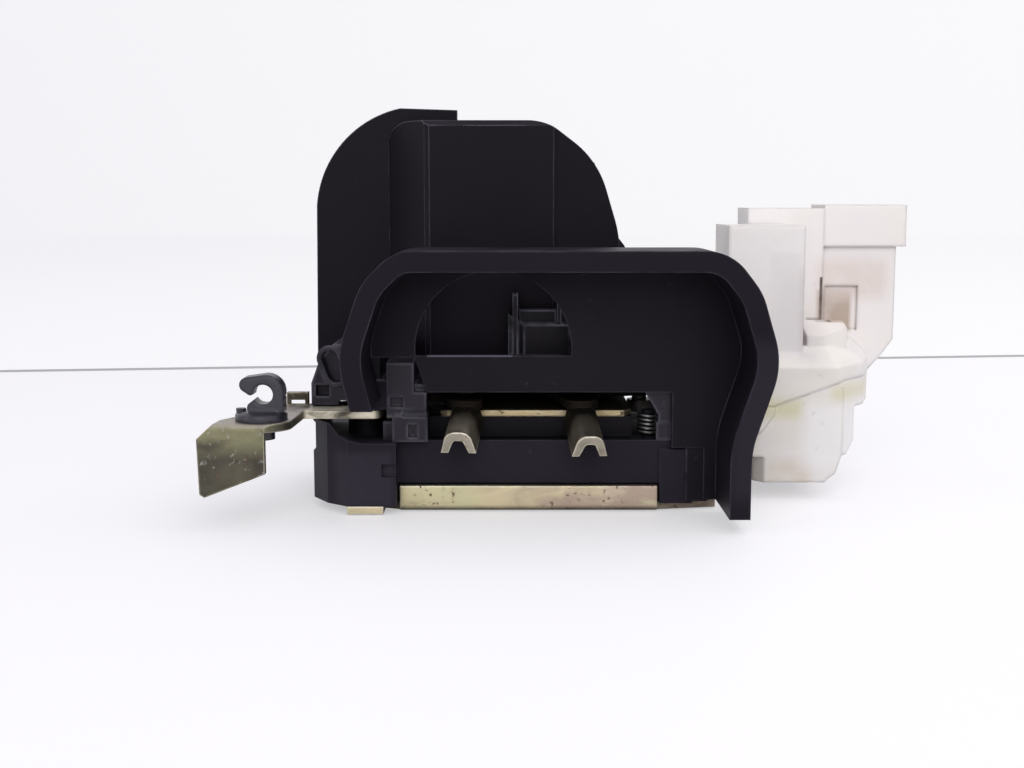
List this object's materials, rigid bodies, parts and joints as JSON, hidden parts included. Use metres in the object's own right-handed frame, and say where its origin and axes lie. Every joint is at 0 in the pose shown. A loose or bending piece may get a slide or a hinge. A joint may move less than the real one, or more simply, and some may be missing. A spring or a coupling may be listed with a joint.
{
  "type": "door latch actuator",
  "caption": "Car side door latch: steel face plate, claw and pawl, two lever fingers under a curved weather hood, rod lever with clip, geared motor case.",
  "frame": {"origin": "on the face plate's outer face, at the front of its upturned flange, in line with the flange's middle part", "axes": "+X to the geared motor case, +Y to the striker's mouth, +Z from the face plate into the latch"},
  "size_m": [0.1857, 0.086, 0.1032],
  "materials": {
    "zinc_steel": "yellow zinc plate, lightly worn",
    "galvanised_steel": "dull, spotted zinc plate",
    "bright_steel": "bright turned steel",
    "spring_steel": "bright wire",
    "motor_steel": "drawn and nickel plated",
    "black_resin": "satin moulded resin",
    "hood_rubber": "dense matte sheet moulding",
    "jacket_resin": "satin",
    "clip_resin": "satin",
    "natural_nylon": "translucent off-white",
    "gear_resin": "off-white",
    "bumper_rubber": "matte",
    "tin": "tinned"
  },
  "bodies": {
    "latch_frame": {"actuator_case_lower": "natural_nylon", "actuator_case_upper": "natural_nylon", "back_plate": "zinc_steel", "base_plate": "zinc_steel", "bolt_bushes": "zinc_steel", "claw_pin": "zinc_steel", "claw_spring": "spring_steel", "connector_terminals": "tin", "dome_cover": "black_resin", "frame_plate": "black_resin", "frame_screws": "zinc_steel", "guide_block": "black_resin", "hood": "hood_rubber", "latch_housing": "black_resin", "lever_clips": "spring_steel", "lever_cover": "black_resin", "motor_can": "motor_steel", "motor_end_cap": "jacket_resin", "mouth_bumper": "bumper_rubber", "pawl_pin": "zinc_steel", "pawl_spring": "spring_steel", "reduction_axle": "bright_steel", "release_stud": "zinc_steel", "rod_lever_stud": "zinc_steel", "sector_axle": "bright_steel", "toggle_post": "black_resin", "toggle_spring": "spring_steel"},
    "claw_unit": {"claw": "bright_steel", "claw_jacket": "jacket_resin"},
    "pawl_unit": {"pawl": "bright_steel", "pawl_lift_pin": "bright_steel"},
    "release_unit": {"release_lever": "zinc_steel"},
    "lock_unit": {"lock_lever": "zinc_steel"},
    "rod_lever_unit": {"rod_lever": "galvanised_steel"},
    "rod_clip_unit": {"rod_clip": "clip_resin"},
    "sector_unit": {"sector_lever": "gear_resin"},
    "reduction_unit": {"reduction_gear": "gear_resin"},
    "rotor": {"motor_pinion": "tin", "motor_shaft": "bright_steel"}
  },
  "joints": [
    {"name": "release_turn", "type": "hinge", "parent": "latch_frame", "child": "release_unit", "pos_m": [-0.014, 0.018, 0.0262], "axis": [0, 0, 1], "range_deg": [0, 18]},
    {"name": "lock_turn", "type": "hinge", "parent": "latch_frame", "child": "lock_unit", "pos_m": [0.0165, 0.026, 0.0262], "axis": [0, 0, 1], "range_deg": [0, 15]},
    {"name": "claw_turn", "type": "hinge", "parent": "latch_frame", "child": "claw_unit", "pos_m": [0.0165, 0.026, 0.004], "axis": [0, 0, 1], "range_deg": [0, 55]},
    {"name": "pawl_turn", "type": "hinge", "parent": "latch_frame", "child": "pawl_unit", "pos_m": [-0.014, 0.04, 0.004], "axis": [0, 0, 1], "range_deg": [-20.5, 0]},
    {"name": "rod_lever_turn", "type": "hinge", "parent": "latch_frame", "child": "rod_lever_unit", "pos_m": [-0.038, 0.014, 0.0238], "axis": [0, 0, 1], "range_deg": [-18, 0]},
    {"name": "rod_clip_turn", "type": "hinge", "parent": "rod_lever_unit", "child": "rod_clip_unit", "pos_m": [-0.0608, -0.0144, 0.0238], "axis": [0, 0, 1], "range_deg": [-60, 60]},
    {"name": "sector_turn", "type": "hinge", "parent": "latch_frame", "child": "sector_unit", "pos_m": [0.0522, 0.034, 0.0214], "axis": [0, 0, 1], "range_deg": [-17.68, 0]},
    {"name": "reduction_turn", "type": "hinge", "parent": "latch_frame", "child": "reduction_unit", "pos_m": [0.0753, 0.04215, 0.0214], "axis": [0, 0, 1], "range_deg": [0, 77.33]},
    {"name": "motor_turn", "type": "hinge", "parent": "latch_frame", "child": "rotor", "pos_m": [0.06707, 0.03039, 0.0312], "axis": [0, 0, 1], "range_deg": [-273.41, 0]}
  ],
  "couplings": [
    {"joint": "pawl_turn", "follows": "release_turn", "ratio": -1.1111},
    {"joint": "rod_lever_turn", "follows": "release_turn", "ratio": -1},
    {"joint": "sector_turn", "follows": "lock_turn", "ratio": -1.145},
    {"joint": "reduction_turn", "follows": "lock_turn", "ratio": 5.0889},
    {"joint": "motor_turn", "follows": "lock_turn", "ratio": -18.094}
  ]
}
